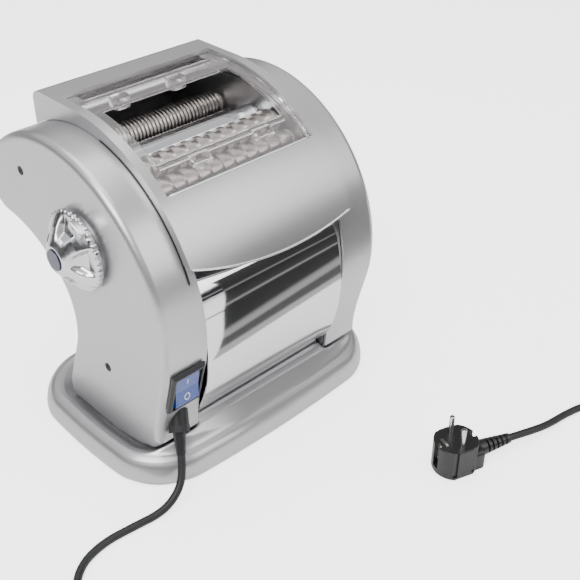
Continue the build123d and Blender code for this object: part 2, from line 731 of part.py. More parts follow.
def make_guard():
    """The clear frame in the window: a back shelf, a front shelf and two rails."""
    outer, inner = roof_radius - roof_wall - 0.6, roof_radius - roof_wall - 3.2
    guard_rise = roof_top_z - drum_z - roof_radius
    front_in = 90.0 + window_front_angle + 4.0
    front_lip = 90.0 + 29.5
    back_y = window_back_y + 8.0

    def skin(radius):
        return [
            Line(drum_c, polar(drum_c, radius, front_in)),
            ThreePointArc(polar(drum_c, radius, front_in), polar(drum_c, radius + 1.0, 110.0),
                          (drum_y, drum_z + radius + guard_rise)),
            Line((drum_y, drum_z + radius + guard_rise), (back_y, drum_z + radius + guard_rise)),
            Line((back_y, drum_z + radius + guard_rise), (back_y, drum_z)),
            Line((back_y, drum_z), drum_c),
        ]

    guard = slab(make_face(skin(outer)), -half_inner + 1.2, half_inner - 1.2)
    guard -= slab(make_face(skin(inner)), -half_inner, half_inner)
    guard -= block(-half_inner, half_inner, -200, 200, 0, 230)
    hole = slab(polygon([polar(drum_c, 170, front_lip), polar(drum_c, 120, front_lip), (14.0, 200.0), (14.0, 330.0)]),
                -68.0, 68.0)
    slot = block(-66.0, 66.0, 41.0, 53.0, 200.0, 330.0)
    bead_front = rod(-68.0, 68.0, polar(drum_c, inner + 1.0, front_lip + 1.4), 3.2)
    bead_back = rod(-68.0, 68.0, (38.0, drum_z + inner + guard_rise + 1.2), 3.4)
    guard = guard - hole - slot + bead_front + bead_back
    for x, y, reach in ((-38.0, 33.0, 9.0), (22.0, 33.0, 9.0)):
        boss = block(x - 8, x + 8, y - reach, y + 5, drum_z + inner - 4, drum_z + outer + guard_rise)
        guard += fillet(boss.edges().filter_by(Axis.Z), 4.0)
    for x in (-27.0, 42.0):
        middle = polar(drum_c, inner - 2.0, front_lip + 3.0)
        boss = rod(x - 9, x + 9, middle, 5.5)
        guard += boss
    guard &= slab(make_face(roof_profile(roof_wall + 0.4)), -half_inner, half_inner)
    return guard - slab(make_face(skin(inner - 9.0)), -half_inner, half_inner)


def make_chute():
    """The polished plate: up the front and back under the rollers."""
    outer_line = [(-93.5, 45.0), (-100.5, 52.5), (-108.5, 66.0), (-117.5, 92.0), (-121.6, 120.0),
                  (-120.4, 152.0), (-113.5, 182.0), (-100.0, 197.0), (-78.0, 204.5), (-40.0, 208.5),
                  (10.0, 212.0), (62.0, 215.5)]
    thickness = 1.2
    chain = [(-93.5, 44.0)] + outer_line + [(72.0, 216.2)]
    inner_line = step_inside(chain, thickness)
    profile = make_face([Spline(*outer_line), Line(outer_line[-1], inner_line[-1]),
                         Spline(*inner_line), Line(inner_line[0], outer_line[0])])
    front_half, back_half = half_inner - 0.8, arm_in - 0.7
    plate = slab(profile, -front_half, front_half)
    for side in (-1, 1):
        x0, x1 = sorted((side * back_half, side * 90.0))
        plate -= block(x0, x1, -104.0, 120.0, 190.0, 260.0)
    return plate


def make_back_panel():
    ring = slab(side_outline(3.4), -half_inner + 0.6, half_inner - 0.6)
    ring -= slab(side_outline(4.9), -half_inner, half_inner)
    region = slab(polygon([(roof_back_y - 12, 300), (150, 300), (150, 10), (24, 10), (24, 40), (-8, 80), (-8, 160),
                           (30, 205), (roof_back_y - 12, 215)]), -half_inner, half_inner)
    return ring & region


# ---------------------------------------------------------------- switch and lead inlet
def make_bezel():
    bezel = Box(switch_size[0], switch_size[1], 4.0, align=(Align.CENTER, Align.CENTER, Align.MIN))
    bezel = chamfer(bezel.faces().sort_by(Axis.Z)[-1].edges(), 2.0)
    bezel -= Box(switch_hole[0] - 0.2, switch_hole[1] - 0.2, 20)
    return switch_plane * (Pos(0, 0, 0.2) * bezel)


rocker_pivot = (0.0, -2.0)
rocker_lean = 8.0


def make_switch_body():
    top = (Align.CENTER, Align.CENTER, Align.MAX)
    cup = Pos(0, 0, 2.0) * Box(switch_hole[0] - 0.2, switch_hole[1] - 0.2, 22, align=top)
    cup -= Pos(0, 0, 2.1) * Box(25.0, 36.4, 10.1, align=top)
    cup -= Pos(0, 0, rocker_pivot[1]) * Rot(0, 90, 0) * Cylinder(1.5 + running_clearance, 26.6)
    for x in (-7.0, 0.0, 7.0):
        cup += Pos(x, 0, -20) * Box(0.8, 6.0, 6.0, align=top)
    return switch_plane * cup


def make_rocker():
    face = Plane.YZ * polygon([(-16.0, -5.0), (-16.3, 4.5), (0.0, 3.0), (16.3, 4.5), (16.0, -5.0)])
    rocker = extrude(face, amount=12.0, both=True)
    rocker = fillet(rocker.edges().filter_by(Axis.X).sort_by(Axis.Z)[-2:], 1.5)
    rocker += Pos(0, 0, rocker_pivot[1]) * Rot(0, 90, 0) * Cylinder(1.5, 26.4)
    turn = Pos(0, 0, rocker_pivot[1]) * Rot(-rocker_lean, 0, 0) * Pos(0, 0, -rocker_pivot[1])
    return switch_plane * (turn * rocker)


relief_nut, relief_boot = 6.0, 19.0


def make_relief():
    up = (Align.CENTER, Align.CENTER, Align.MIN)
    nut = extrude(RegularPolygon(9.6, 10), amount=relief_nut)
    stem = Pos(0, 0, -14) * Cylinder(9.2, 14, align=up)
    boot = Pos(0, 0, relief_nut) * Cone(5.6, cord_diameter / 2 + 0.6, relief_boot, align=up)
    cover_front = Plane(origin=(0, -104.2, 42.0), x_dir=(1, 0, 0), z_dir=(0, 0.9946, 0.104))
    return relief_plane * (nut + stem + boot) - cover_front * extrude(Rectangle(400, 400), amount=60)


# ---------------------------------------------------------------- plug
plug_c = (76.0, -268.0)     # on the table, midway between the pins
pin_spacing = 19.0
pin_radius = 2.4
pin_length = 19.0
plug_height = 32.0
plug_radius = 20.0
plug_neck_z = 11.0
plug_out = Vector(1.0, -0.35, 0.0).normalized()     # the way the cord leaves the plug
pin_line = Vector(plug_out.Y, -plug_out.X, 0.0)
neck_length = 34.0


def plug_plane(z):
    return Plane(origin=(plug_c[0], plug_c[1], z), x_dir=plug_out, z_dir=(0, 0, 1))


def make_plug_body():
    """A round mains plug lying on its back, with its cord leaving sideways."""
    up = (Align.CENTER, Align.CENTER, Align.MIN)
    face = Circle(plug_radius) & Rectangle(2 * plug_radius, 2 * plug_radius - 5)
    body = extrude(face, amount=plug_height)
    body = fillet(body.faces().sort_by(Axis.Z)[0].edges(), 2.5)
    body = fillet(body.faces().sort_by(Axis.Z)[-1].edges(), 1.0)
    skirt = extrude(Pos(9.0, 0) * RectangleRounded(34.0, 27.0, 5.0), amount=19.0)
    skirt = fillet(skirt.faces().sort_by(Axis.Z)[-1].edges(), 4.0)
    neck = Pos(24.0, 0, plug_neck_z) * Rot(0, 90, 0) * Cone(8.0, cord_diameter / 2 + 1.2, neck_length, align=up)
    grooves = []
    for k in range(5):
        x = 24.0 + 9.0 + k * 5.0
        outer = Pos(x, 0, plug_neck_z) * Rot(0, 90, 0) * Cylinder(11.0, 2.0)
        inner = Pos(x, 0, plug_neck_z) * Rot(0, 90, 0) * Cylinder(3.9, 2.0)
        grooves.append(outer - inner)
    body = body + skirt + (neck - grooves)
    for side in (-1, 1):
        body -= Pos(side * 17.6, 0, plug_height) * Box(5.4, 7.0, 50)
        for turn in (-1, 1):
            body -= Pos(side * 11.0, turn * 18.6, plug_height / 2 + 4) * Box(7.0, 5.0, plug_height)
    for side in (-1, 1):
        body -= Pos(0, side * pin_spacing / 2, plug_height) * Cylinder(pin_radius, 12)
    body -= Pos(0, 0, -10) * Box(200, 200, 20.0)
    return plug_plane(0) * body


def make_plug_pins():
    up = (Align.CENTER, Align.CENTER, Align.MIN)
    pins = []
    for side in (-1, 1):
        pin = Pos(0, side * pin_spacing / 2, plug_height - 6) * Cylinder(pin_radius, pin_length + 6, align=up)
        pins.append(plug_plane(0) * fillet(pin.faces().sort_by(Axis.Z)[-1].edges(), 1.2))
    return group(pins)


def make_earth_clips():
    """The two earth contacts in the plug's side grooves, and the drilled plate between the pins."""
    clips = []
    for side in (-1, 1):
        strip = Pos(side * 15.6, 0, plug_height / 2 + 6) * Box(1.4, 6.0, plug_height - 14)
        clips.append(plug_plane(0) * strip)
    plate = Pos(-12.4, 0, plug_height + 0.4) * Box(3.0, 10.0, 0.8)
    return group(clips + [plug_plane(0) * plate])


# ---------------------------------------------------------------- the free cord
relief_end = relief_start + relief_dir * (relief_nut + relief_boot)
neck_end = Vector(plug_c[0], plug_c[1], plug_neck_z) + plug_out * (24.0 + neck_length)
cord_low = cord_diameter / 2

coil_c = (-211.0, -252.0)
coil_start_angle = 180.0    # where the lead runs into the coil, the cord turning anticlockwise
coil_end_angle = 238.0
coil_turns = 2
coil_outer = 46.5
coil_inner = 31.5
coil_middle = (coil_outer + coil_inner) / 2
coil_height = 2 * cord_diameter + 0.2
coil_way = 2 * pi * coil_middle * (coil_turns + (coil_end_angle - coil_start_angle) / 360)

lead_route = [
    (relief_end.X, relief_end.Y, relief_end.Z), (-119.1, -128.6, 23.0), (-131.3, -133.8, 11.4),
    (-148.8, -134.8, 4.0), (-174.0, -130.8, 3.5), (-203.0, -127.3, 3.5), (-230.0, -134.0, 3.5),
    (-249.5, -155.5, 3.5), (-256.5, -187.0, 3.5), (-255.5, -220.0, 3.5), (-254.0, -252.0, 3.5)]

tail_route = [
    (-233.0, -288.6, 10.5), (-206.0, -305.5, 8.5), (-170.0, -326.0, 4.5), (-126.0, -352.0, 3.5),
    (-76.0, -381.0, 3.5), (-22.0, -409.0, 3.5), (38.0, -429.0, 3.5), (97.0, -433.0, 3.5),
    (150.0, -419.0, 3.5), (196.0, -399.0, 3.5), (232.0, -388.0, 3.5), (248.7, -370.7, 3.5),
    (254.5, -347.4, 3.5), (247.9, -324.3, 3.5), (230.6, -307.6, 3.5), (204.4, -301.1, 3.7),
    (176.0, -299.5, 6.5), (152.4, -294.8, 10.0),
    (neck_end.X, neck_end.Y, neck_end.Z)]


def route_tube(name, route):
    """A round tube along straight runs joined by arcs as large as the runs allow."""
    points = [Vector(*point) for point in route]
    radii = []
    for before, here, after in zip(points, points[1:], points[2:]):
        one, two = here - before, after - here
        turn = radians(one.get_angle(two))
        radii.append(0.45 * min(one.length, two.length) / tan(turn / 2))
    path = FilletPolyline(*points, radius=radii)
    start = Plane(origin=points[0], z_dir=points[1] - points[0])
    tube = sweep(start * Circle(cord_diameter / 2), path=path)
    expected = pi * cord_diameter ** 2 / 4 * path.length
    print(name, "radii", [round(radius) for radius in radii])
    print(name, "length", round(path.length, 1), "volume/expected", round(tube.volume / expected, 4))
    return tube, path.length


def make_coil():
    up = (Align.CENTER, Align.CENTER, Align.MIN)
    place = Pos(coil_c[0], coil_c[1], 0.0)
    coil = place * Cylinder(coil_outer, coil_height, align=up) - place * Cylinder(coil_inner, coil_height, align=up)
    return coil


def build_parts():
    """Every node by name."""
    parts = {}
    parts["base_shell"] = make_base_shell()
    parts["base_plate"] = make_base_plate()
    parts["rubber_feet"] = make_feet()
    parts["base_lugs"] = make_lugs()
    parts["base_screws"] = make_base_screws()
    parts["frame_plate_left"] = make_frame_plate(-1)
    parts["frame_plate_right"] = make_frame_plate(1)
    parts["tie_rods"] = group([make_tie_rods(), rod(-plate_out, plate_out, yoke_c, yoke_rod_radius)])
    parts["tie_nuts"] = make_tie_nuts()
    parts["shaft_bushes"] = make_bushes()
    parts["side_cover_left"] = make_side_cover(-1)
    parts["side_cover_right"] = make_side_cover(1)
    parts["cover_posts"] = make_cover_posts()
    parts["cover_screws"] = make_cover_screws()
    parts["top_cover"] = make_top_cover()
    parts["clear_guard"] = make_guard()
    parts["front_chute"] = make_chute()
    parts["back_panel"] = make_back_panel()

    end_a, end_b, end_left = plane_a[1], plane_b[1], plane_left[0]
    parts["smooth_roller_fixed"] = make_smooth_roller(fixed_c, -plate_out - 0.6, end_b)
    parts["smooth_roller_adjustable"] = make_smooth_roller(adjustable_c, -arm_out, end_a)
    parts["fine_cutter_front"] = make_cutter(fine_front_c, fine_strip, 0, end_left, end_b)
    parts["fine_cutter_back"] = make_cutter(fine_back_c, fine_strip, 1, end_left, plate_out + 0.6)
    parts["wide_cutter_back"] = make_cutter(wide_back_c, wide_strip, 0, end_left, end_b)
    parts["wide_cutter_front"] = make_cutter(wide_front_c, wide_strip, 1, end_left, plate_out + 0.6)
    parts["cutter_combs"] = group([
        make_comb(fine_front_c, fine_strip, 0, 1), make_comb(fine_back_c, fine_strip, 1, -1),
        make_comb(wide_back_c, wide_strip, 0, -1), make_comb(wide_front_c, wide_strip, 1, 1)])
    parts["fixed_roller_scraper"] = make_scraper(fixed_c, 3.0)

    long_teeth = dict(backlash=1.3, addendum=0.8, dedendum=1.35)
    parts["fixed_roller_gears"] = group([
        gear(pair_teeth, pair_module, *plane_a, fixed_c, fixed_phase, shaft_radius, **long_teeth),
        gear(drive_teeth, drive_module, *plane_b, fixed_c, drive_phase, shaft_radius)])
    parts["adjustable_roller_gear"] = gear(pair_teeth, pair_module, *plane_a, adjustable_c, adjust_phase,
                                           shaft_radius, **long_teeth)
    pair = {}
    for name, centre, phase in (("fine_front", fine_front_c, fine_pair_phase),
                                ("fine_back", fine_back_c, fine_back_phase),
                                ("wide_back", wide_back_c, wide_pair_phase),
                                ("wide_front", wide_front_c, wide_front_phase)):
        pair[name] = gear(pair_teeth, cutter_module, *plane_left, centre, phase, shaft_radius)
    parts["fine_front_gears"] = group([
        pair["fine_front"],
        gear(drive_teeth, drive_module, *plane_b, fine_front_c, fine_drive_phase, shaft_radius)])
    parts["fine_back_gear"] = pair["fine_back"]
    parts["wide_back_gears"] = group([
        pair["wide_back"],
        gear(drive_teeth, drive_module, *plane_b, wide_back_c, wide_drive_phase, shaft_radius)])
    parts["wide_front_gear"] = pair["wide_front"]

    main = gear(main_teeth, drive_module, *plane_b, main_c, main_phase, stud_radius + running_clearance)
    parts["main_gear"] = main + rod(plate_out + 0.5, plane_b[0], main_c, 6.0, stud_radius + running_clearance)
    second = gear(second_big, second_module, *plane_a, second_c, 0.0, stud_radius + running_clearance)
    second += gear(second_small, drive_module, *plane_b, second_c, second_phase, stud_radius + running_clearance)
    parts["second_cluster_gear"] = second + rod(plate_out + 0.5, plane_b[0], second_c, 8.0,
                                                stud_radius + running_clearance)
    first = gear(first_big, first_module, *plane_c, first_c, 0.0, stud_radius + running_clearance)
    first += gear(first_small, second_module, *plane_a, first_c, first_phase, stud_radius + running_clearance)
    hub = rod(plate_out + 0.5, plane_c[0], first_c, 7.0, stud_radius + running_clearance)
    parts["first_cluster_gear"] = first + hub
    studs = []
    for centre, end in ((main_c, plane_b[1] + 1), (second_c, plane_b[1] + 1), (first_c, plane_c[1] + 1)):
        studs.append(rod(plate_in, end, centre, stud_radius))
    parts["gear_studs"] = group(studs)

    parts["motor_housing"] = make_motor_housing()
    parts["motor_stator"] = rod(-10, 45, motor_c, motor_radius - 1.5, 18.6)
    parts["motor_mount_ring"] = rod(motor_x[1], plate_in, motor_c, motor_radius - 3, 26.0)
    parts["motor_shaft"] = make_motor_shaft() + gear(pinion_teeth, first_module, *plane_c, motor_c,
                                                     pinion_phase, 2.4)
    parts["motor_rotor"] = rod(-10, 45, motor_c, 18.0, 4.0)

    parts["yoke_arm_left"] = make_arm(-1)
    parts["yoke_arm_right"] = make_arm(1)
    parts["yoke_tube"] = rod(-arm_out, arm_out, yoke_c, 7.0, yoke_rod_radius + running_clearance)
    parts["thickness_shaft"] = make_knob_shaft()
    parts["thickness_cam"] = make_cam()
    parts["thickness_knob"] = make_knob_body() + make_knob_pin()
    parts["knob_cap"] = rod(knob_face_x, knob_face_x + 3.5, knob_c, 9.0)
    parts["index_plate"] = make_index_plate()

    parts["switch_bezel"] = make_bezel()
    parts["switch_body"] = make_switch_body()
    parts["switch_rocker"] = make_rocker()
    parts["strain_relief"] = make_relief()
    coil = make_coil()
    lead, lead_way = route_tube("lead", lead_route)
    tail, tail_way = route_tube("tail", tail_route)
    parts["cord_lead"] = lead - coil
    parts["cord_tail"] = tail - coil
    parts["cord_coil"] = coil
    print("cord length", round(lead_way + coil_way + tail_way), "of", cord_length)
    parts["plug_body"] = make_plug_body()
    parts["plug_pins"] = make_plug_pins()
    parts["plug_earth_clips"] = make_earth_clips()
    return parts


if __name__ == "__main__":
    os.makedirs("parts", exist_ok=True)
    for name, part in build_parts().items():
        export_step(part, f"parts/{name}.step")
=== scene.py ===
import math
import bpy
import numpy as np
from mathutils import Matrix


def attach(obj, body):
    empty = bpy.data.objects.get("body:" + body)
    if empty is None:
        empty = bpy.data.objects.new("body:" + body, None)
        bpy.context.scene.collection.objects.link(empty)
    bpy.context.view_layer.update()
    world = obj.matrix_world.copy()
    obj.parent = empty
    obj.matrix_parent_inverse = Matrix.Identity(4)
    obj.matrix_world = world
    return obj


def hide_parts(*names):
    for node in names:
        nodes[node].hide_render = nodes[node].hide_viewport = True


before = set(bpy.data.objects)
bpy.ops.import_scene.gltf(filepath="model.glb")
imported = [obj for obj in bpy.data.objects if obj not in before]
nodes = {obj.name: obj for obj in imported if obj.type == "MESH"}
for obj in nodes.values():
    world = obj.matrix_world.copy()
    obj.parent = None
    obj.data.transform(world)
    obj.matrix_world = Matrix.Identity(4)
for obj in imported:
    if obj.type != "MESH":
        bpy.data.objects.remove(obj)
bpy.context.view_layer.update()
print("frame loaded", len(nodes))


# ---- camera
cameraSettings = {"place": (-0.4767, -0.6305, 0.6306), "turn": (55.67, 0.0, -43.98), "lens": 61.55}
cameraData = bpy.data.cameras.new("camera")
cameraData.lens = cameraSettings["lens"]
cameraData.sensor_width = 36.0
camera = bpy.data.objects.new("camera", cameraData)
camera.location = cameraSettings["place"]
camera.rotation_euler = [math.radians(a) for a in cameraSettings["turn"]]
bpy.context.scene.collection.objects.link(camera)
bpy.context.scene.camera = camera


# ---- helpers for node materials
def newMaterial(name):
    mat = bpy.data.materials.new(name)
    mat.use_nodes = True
    tree = mat.node_tree
    shader = tree.nodes["Principled BSDF"]
    return mat, tree, shader


def addNode(tree, kind, **inputs):
    node = tree.nodes.new(kind)
    for key, value in inputs.items():
        node.inputs[key.replace("_", " ")].default_value = value
    return node


def makeNoiseGroup():
    # object coordinates in, two noise masks and a bumped normal out
    group = bpy.data.node_groups.new("fineGrain", "ShaderNodeTree")
    for name, kind, default in (("Scale", "NodeSocketFloat", 900.0),
                                ("Stretch", "NodeSocketVector", (1, 1, 1)),
                                ("Depth", "NodeSocketFloat", 0.1)):
        item = group.interface.new_socket(name=name, in_out="INPUT", socket_type=kind)
        item.default_value = default
    group.interface.new_socket(name="Grain", in_out="OUTPUT", socket_type="NodeSocketFloat")
    group.interface.new_socket(name="Cloud", in_out="OUTPUT", socket_type="NodeSocketFloat")
    group.interface.new_socket(name="Normal", in_out="OUTPUT", socket_type="NodeSocketVector")
    into = group.nodes.new("NodeGroupInput")
    out = group.nodes.new("NodeGroupOutput")
    coord = group.nodes.new("ShaderNodeTexCoord")
    stretch = group.nodes.new("ShaderNodeVectorMath")
    stretch.operation = "MULTIPLY"
    grain = addNode(group, "ShaderNodeTexNoise", Detail=3.0)
    cloud = addNode(group, "ShaderNodeTexNoise", Scale=22.0, Detail=4.0)
    bump = addNode(group, "ShaderNodeBump", Distance=0.0002)
    link = group.links.new
    link(coord.outputs["Object"], stretch.inputs[0])
    link(into.outputs["Stretch"], stretch.inputs[1])
    link(stretch.outputs[0], grain.inputs["Vector"])
    link(into.outputs["Scale"], grain.inputs["Scale"])
    link(coord.outputs["Object"], cloud.inputs["Vector"])
    link(into.outputs["Depth"], bump.inputs["Strength"])
    link(grain.outputs["Fac"], bump.inputs["Height"])
    link(grain.outputs["Fac"], out.inputs["Grain"])
    link(cloud.outputs["Fac"], out.inputs["Cloud"])
    link(bump.outputs["Normal"], out.inputs["Normal"])
    return group


fineGrain = makeNoiseGroup()


def surfaceMaterial(name, look):
    mat, tree, shader = newMaterial(name)
    link = tree.links.new
    group = tree.nodes.new("ShaderNodeGroup")
    group.node_tree = fineGrain
    group.inputs["Scale"].default_value = look.get("grain", 900.0)
    group.inputs["Stretch"].default_value = look.get("stretch", (1, 1, 1))
    group.inputs["Depth"].default_value = look.get("depth", 0.05)
    # colour drifts a little between two shades, and roughness with the finer grain
    shade = tree.nodes.new("ShaderNodeMix")
    shade.data_type = "RGBA"
    base = look["color"]
    vary = look.get("vary", 0.05)
    shade.inputs["A"].default_value = (*[c * (1 - vary) for c in base], 1)
    shade.inputs["B"].default_value = (*[min(1.0, c * (1 + vary)) for c in base], 1)
    link(group.outputs["Cloud"], shade.inputs["Factor"])
    link(shade.outputs["Result"], shader.inputs["Base Color"])
    rough = tree.nodes.new("ShaderNodeMapRange")
    low, high = look.get("rough", (0.3, 0.4))
    rough.inputs["To Min"].default_value = low
    rough.inputs["To Max"].default_value = high
    link(group.outputs["Grain"], rough.inputs["Value"])
    link(rough.outputs["Result"], shader.inputs["Roughness"])
    link(group.outputs["Normal"], shader.inputs["Normal"])
    shader.inputs["Metallic"].default_value = look.get("metal", 0.0)
    shader.inputs["Coat Weight"].default_value = look.get("coat", 0.0)
    shader.inputs["Coat Roughness"].default_value = 0.12
    shader.inputs["Transmission Weight"].default_value = look.get("clear", 0.0)
    shader.inputs["IOR"].default_value = look.get("ior", 1.5)
    shader.inputs["Specular IOR Level"].default_value = look.get("specular", 0.5)
    shader.inputs["Anisotropic"].default_value = look.get("aniso", 0.0)
    return mat


looks = {
    "silverPaint": dict(color=(0.53, 0.525, 0.535), metal=0.76, rough=(0.27, 0.36), grain=2600, depth=0.06,
                        coat=0.25, vary=0.02),
    "polishedChute": dict(color=(0.80, 0.80, 0.81), metal=1.0, rough=(0.05, 0.09), grain=300, depth=0.01,
                          vary=0.01),
    "rollerChrome": dict(color=(0.72, 0.72, 0.73), metal=1.0, rough=(0.10, 0.16), grain=500,
                         stretch=(0.2, 1, 1), depth=0.02, vary=0.02),
    "cutterSteel": dict(color=(0.50, 0.47, 0.45), metal=1.0, rough=(0.25, 0.35), grain=900, vary=0.06),
    "knobChrome": dict(color=(0.70, 0.70, 0.71), metal=1.0, rough=(0.14, 0.22), grain=1500, depth=0.02,
                       vary=0.02),
    "plainSteel": dict(color=(0.45, 0.45, 0.46), metal=1.0, rough=(0.3, 0.45), grain=700,
                       stretch=(1, 0.15, 1),
                       vary=0.05),
    "darkSteel": dict(color=(0.035, 0.035, 0.04), metal=0.7, rough=(0.35, 0.5), vary=0.1),
    "gearSteel": dict(color=(0.38, 0.36, 0.34), metal=1.0, rough=(0.3, 0.42), vary=0.06),
    "nylon": dict(color=(0.80, 0.77, 0.68), rough=(0.42, 0.5), vary=0.03),
    "comb": dict(color=(0.62, 0.62, 0.60), rough=(0.4, 0.5), vary=0.03),
    # black plastic for the switch, strain relief and plug, also used for the painted shadow in the flange gap
    "blackPlasticAndGapShadow": dict(color=(0.012, 0.012, 0.013), rough=(0.3, 0.42), grain=1800, depth=0.12, vary=0.1),
    "cordSleeve": dict(color=(0.010, 0.010, 0.011), rough=(0.42, 0.55), grain=1200, depth=0.08, vary=0.1),
    "footRubber": dict(color=(0.02, 0.02, 0.02), rough=(0.7, 0.8), vary=0.1),
    "rockerBlue": dict(color=(0.006, 0.05, 0.30), rough=(0.12, 0.2), coat=0.5, vary=0.08),
    "capBlue": dict(color=(0.022, 0.016, 0.06), rough=(0.2, 0.28), coat=0.4, vary=0.08),
    "nickel": dict(color=(0.68, 0.66, 0.62), metal=1.0, rough=(0.16, 0.26), vary=0.03),
    "whiteMark": dict(color=(0.88, 0.88, 0.88), rough=(0.4, 0.5), vary=0.01),
    "brightEdge": dict(color=(0.86, 0.86, 0.87), metal=1.0, rough=(0.12, 0.2), vary=0.01),
    "clearGuard": dict(color=(0.97, 0.93, 0.93), rough=(0.02, 0.04), clear=0.93, ior=1.5, vary=0.01,
                       depth=0.0),
}
materials = {name: surfaceMaterial(name, look) for name, look in looks.items()}

nodeLooks = {
    "silverPaint": ["side_cover_left", "side_cover_right", "top_cover", "base_shell", "back_panel"],
    "polishedChute": ["front_chute"],
    "rollerChrome": ["smooth_roller_fixed", "smooth_roller_adjustable", "fixed_roller_scraper"],
    "cutterSteel": ["fine_cutter_front", "fine_cutter_back", "wide_cutter_back", "wide_cutter_front"],
    "knobChrome": ["thickness_knob"],
    "darkSteel": ["cover_screws", "base_screws", "motor_housing", "motor_stator"],
    "gearSteel": ["fixed_roller_gears", "adjustable_roller_gear", "fine_front_gears", "fine_back_gear",
                  "wide_back_gears", "wide_front_gear", "main_gear"],
    "nylon": ["second_cluster_gear", "first_cluster_gear", "shaft_bushes"],
    "comb": ["cutter_combs"],
    "blackPlasticAndGapShadow": ["switch_bezel", "switch_body", "strain_relief", "plug_body"],
    "cordSleeve": ["cord_lead", "cord_coil", "cord_tail"],
    "footRubber": ["rubber_feet"],
    "rockerBlue": ["switch_rocker"],
    "capBlue": ["knob_cap"],
    "nickel": ["plug_pins", "plug_earth_clips"],
    "clearGuard": ["clear_guard"],
}
lookOf = {node: name for name, members in nodeLooks.items() for node in members}
for name, obj in nodes.items():
    obj.data.materials.clear()
    obj.data.materials.append(materials[lookOf.get(name, "plainSteel")])
print("materials set")


# ---- the free cord: one spline through the lead, the coil and the tail
cordSettings = {
    "diameter": 0.007, "length": 1.5, "coilCentre": (-0.211, -0.252), "turns": 2, "perTurn": 16,
    "startAngle": 180.0, "endAngle": 238.0,
}
leadPoints = [
    (-119.1, -128.6, 23.0), (-131.3, -133.8, 11.4), (-148.8, -134.8, 4.0), (-174.0, -130.8, 3.6),
    (-203.0, -127.3, 3.5), (-230.0, -134.0, 3.5), (-249.5, -155.5, 3.5), (-256.5, -187.0, 3.5),
    (-255.5, -220.0, 3.5)]
tailPoints = [
    (-206.0, -305.5, 8.5), (-170.0, -326.0, 4.5), (-126.0, -352.0, 3.5), (-76.0, -381.0, 3.5),
    (-22.0, -409.0, 3.5), (38.0, -429.0, 3.5), (97.0, -433.0, 3.5), (150.0, -419.0, 3.5),
    (196.0, -399.0, 3.5), (232.0, -388.0, 3.5), (248.7, -370.7, 3.5), (254.5, -347.4, 3.5),
    (247.9, -324.3, 3.5), (230.6, -307.6, 3.5), (204.4, -301.1, 3.7), (176.0, -299.5, 6.5),
    (152.4, -294.8, 10.0)]


def coilPoints():
    # radius shrinks over the first turn, then grows again one layer higher up
    total = cordSettings["turns"] + (cordSettings["endAngle"] - cordSettings["startAngle"]) / 360
    count = int(total * cordSettings["perTurn"]) + 1
    t = np.linspace(0.0, total, count)[:-1]
    radius = np.interp(t, [0.0, 1.0, 1.3, 1.6, total], [43.2, 35.6, 33.9, 34.4, 42.4]) / 1000
    height = np.interp(t, [0.0, 1.0, 1.42, total], [3.5, 3.5, 10.6, 10.6]) / 1000
    angle = np.radians(cordSettings["startAngle"]) + 2 * np.pi * t
    cx, cy = cordSettings["coilCentre"]
    return np.stack([cx + radius * np.cos(angle), cy + radius * np.sin(angle), height], 1)


reliefLow = np.array([-0.104, -0.107, 0.057])
reliefWay = np.array([-0.35, -0.5, -0.79])
reliefWay = reliefWay / np.linalg.norm(reliefWay)
cordStart = reliefLow + reliefWay * 0.025
plugOut = np.array([1.0, -0.35, 0.0]) / math.hypot(1.0, 0.35)
cordEnd = np.array([0.076, -0.268, 0.011]) + plugOut * 0.058
route = np.vstack([[cordStart], np.array(leadPoints) / 1000, coilPoints(), np.array(tailPoints) / 1000,
                   [cordEnd]])
cordCurve = bpy.data.curves.new("cordLine", "CURVE")
cordCurve.dimensions = "3D"
cordCurve.bevel_depth = cordSettings["diameter"] / 2
cordCurve.bevel_resolution = 6
cordCurve.resolution_u = 6
cordCurve.render_resolution_u = 6
cordCurve.use_fill_caps = True
cordSpline = cordCurve.splines.new("NURBS")
cordSpline.points.add(len(route) - 1)
cordSpline.points.foreach_set("co", np.hstack([route, np.ones((len(route), 1))]).ravel())
cordSpline.order_u = 3
cordSpline.use_endpoint_u = True
cordCurve.materials.append(materials["cordSleeve"])
cord = bpy.data.objects.new("cordTube", cordCurve)
bpy.context.scene.collection.objects.link(cord)
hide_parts("cord_lead", "cord_coil", "cord_tail")
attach(cord, "housing")
print("cord made", len(route))


# ---- surfaces from arrays
def gridMesh(name, points, material, closedU=False, closedV=False):
    rows, columns = points.shape[:2]
    u = np.arange(rows if closedU else rows - 1)
    v = np.arange(columns if closedV else columns - 1)
    a, b = np.meshgrid(u, v, indexing="ij")
    nextA, nextB = (a + 1) % rows, (b + 1) % columns
    faces = np.stack([a * columns + b, nextA * columns + b,
                      nextA * columns + nextB, a * columns + nextB], -1)
    mesh = bpy.data.meshes.new(name)
    mesh.from_pydata(points.reshape(-1, 3), [], faces.reshape(-1, 4).tolist())
    mesh.polygons.foreach_set("use_smooth", [True] * len(mesh.polygons))
    mesh.materials.append(materials[material])
    obj = bpy.data.objects.new(name, mesh)
    bpy.context.scene.collection.objects.link(obj)
    return obj


def sweepTube(name, path, radius, material, sides=12):
    # circle of the given radius carried square to the path, closed to a point at both ends
    path = np.asarray(path, float)
    way = np.gradient(path, axis=0)
    way /= np.linalg.norm(way, axis=1)[:, None]
    side = np.cross(way, [0.0, 0.0, 1.0])
    side /= np.linalg.norm(side, axis=1)[:, None] + 1e-9
    lift = np.cross(side, way)
    t = np.linspace(0, 2 * np.pi, sides, endpoint=False)
    size = np.full(len(path), radius)
    size[0] = size[-1] = radius * 0.05
    ring = np.cos(t)[None, :, None] * side[:, None, :] + np.sin(t)[None, :, None] * lift[:, None, :]
    points = path[:, None, :] + ring * size[:, None, None]
    return gridMesh(name, points, material, closedV=True)


